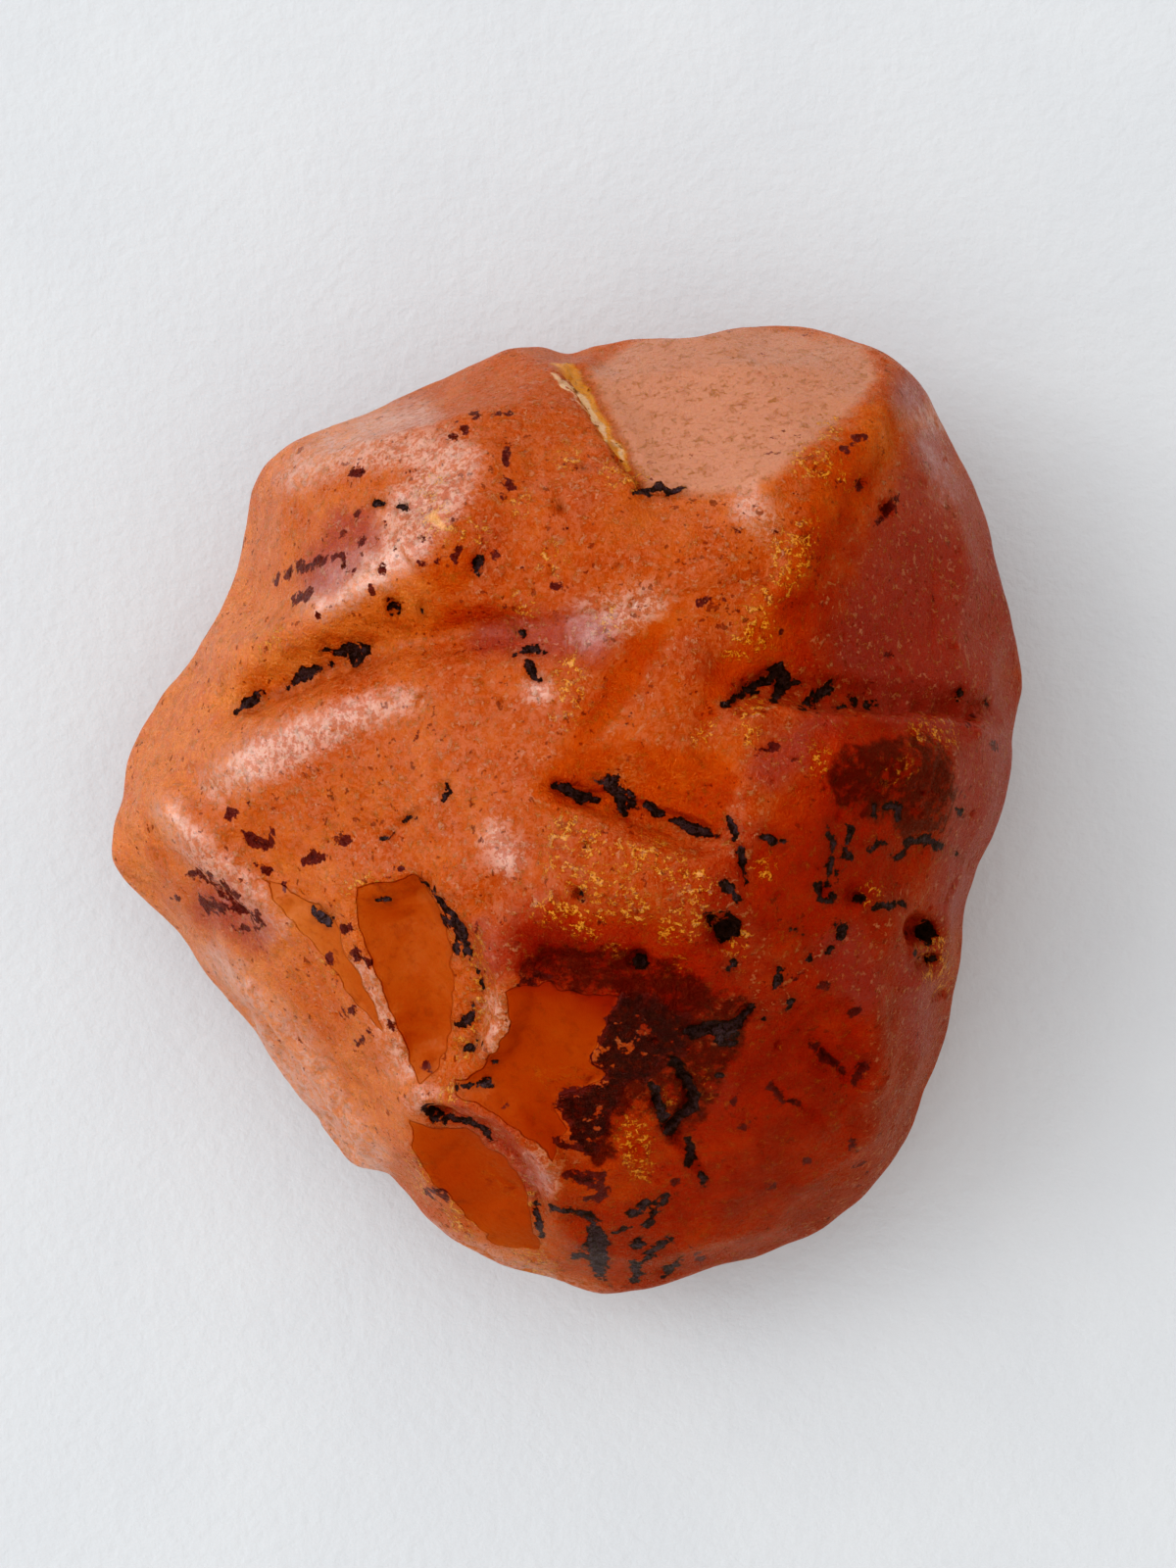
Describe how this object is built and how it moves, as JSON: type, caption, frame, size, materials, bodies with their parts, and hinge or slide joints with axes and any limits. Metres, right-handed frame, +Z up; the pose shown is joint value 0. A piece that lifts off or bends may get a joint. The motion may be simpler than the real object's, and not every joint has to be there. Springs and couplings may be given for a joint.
{
  "type": "raw amber piece",
  "caption": "Hand-sized lump of weathered reddish-orange raw amber with broken ridges, valleys, scars and pits, resting on a flat worn face.",
  "frame": {"origin": "on the table, under the middle of the piece's bounding box", "axes": "+Z up from the flat worn resting face; +Y towards the smooth broken facet with the fresh riser beside it; +X towards the ledge and block"},
  "size_m": [0.0938, 0.099, 0.058],
  "materials": {
    "amber": "satin, weathered"
  },
  "bodies": {
    "root": {"raw_amber": "amber"}
  },
  "joints": []
}
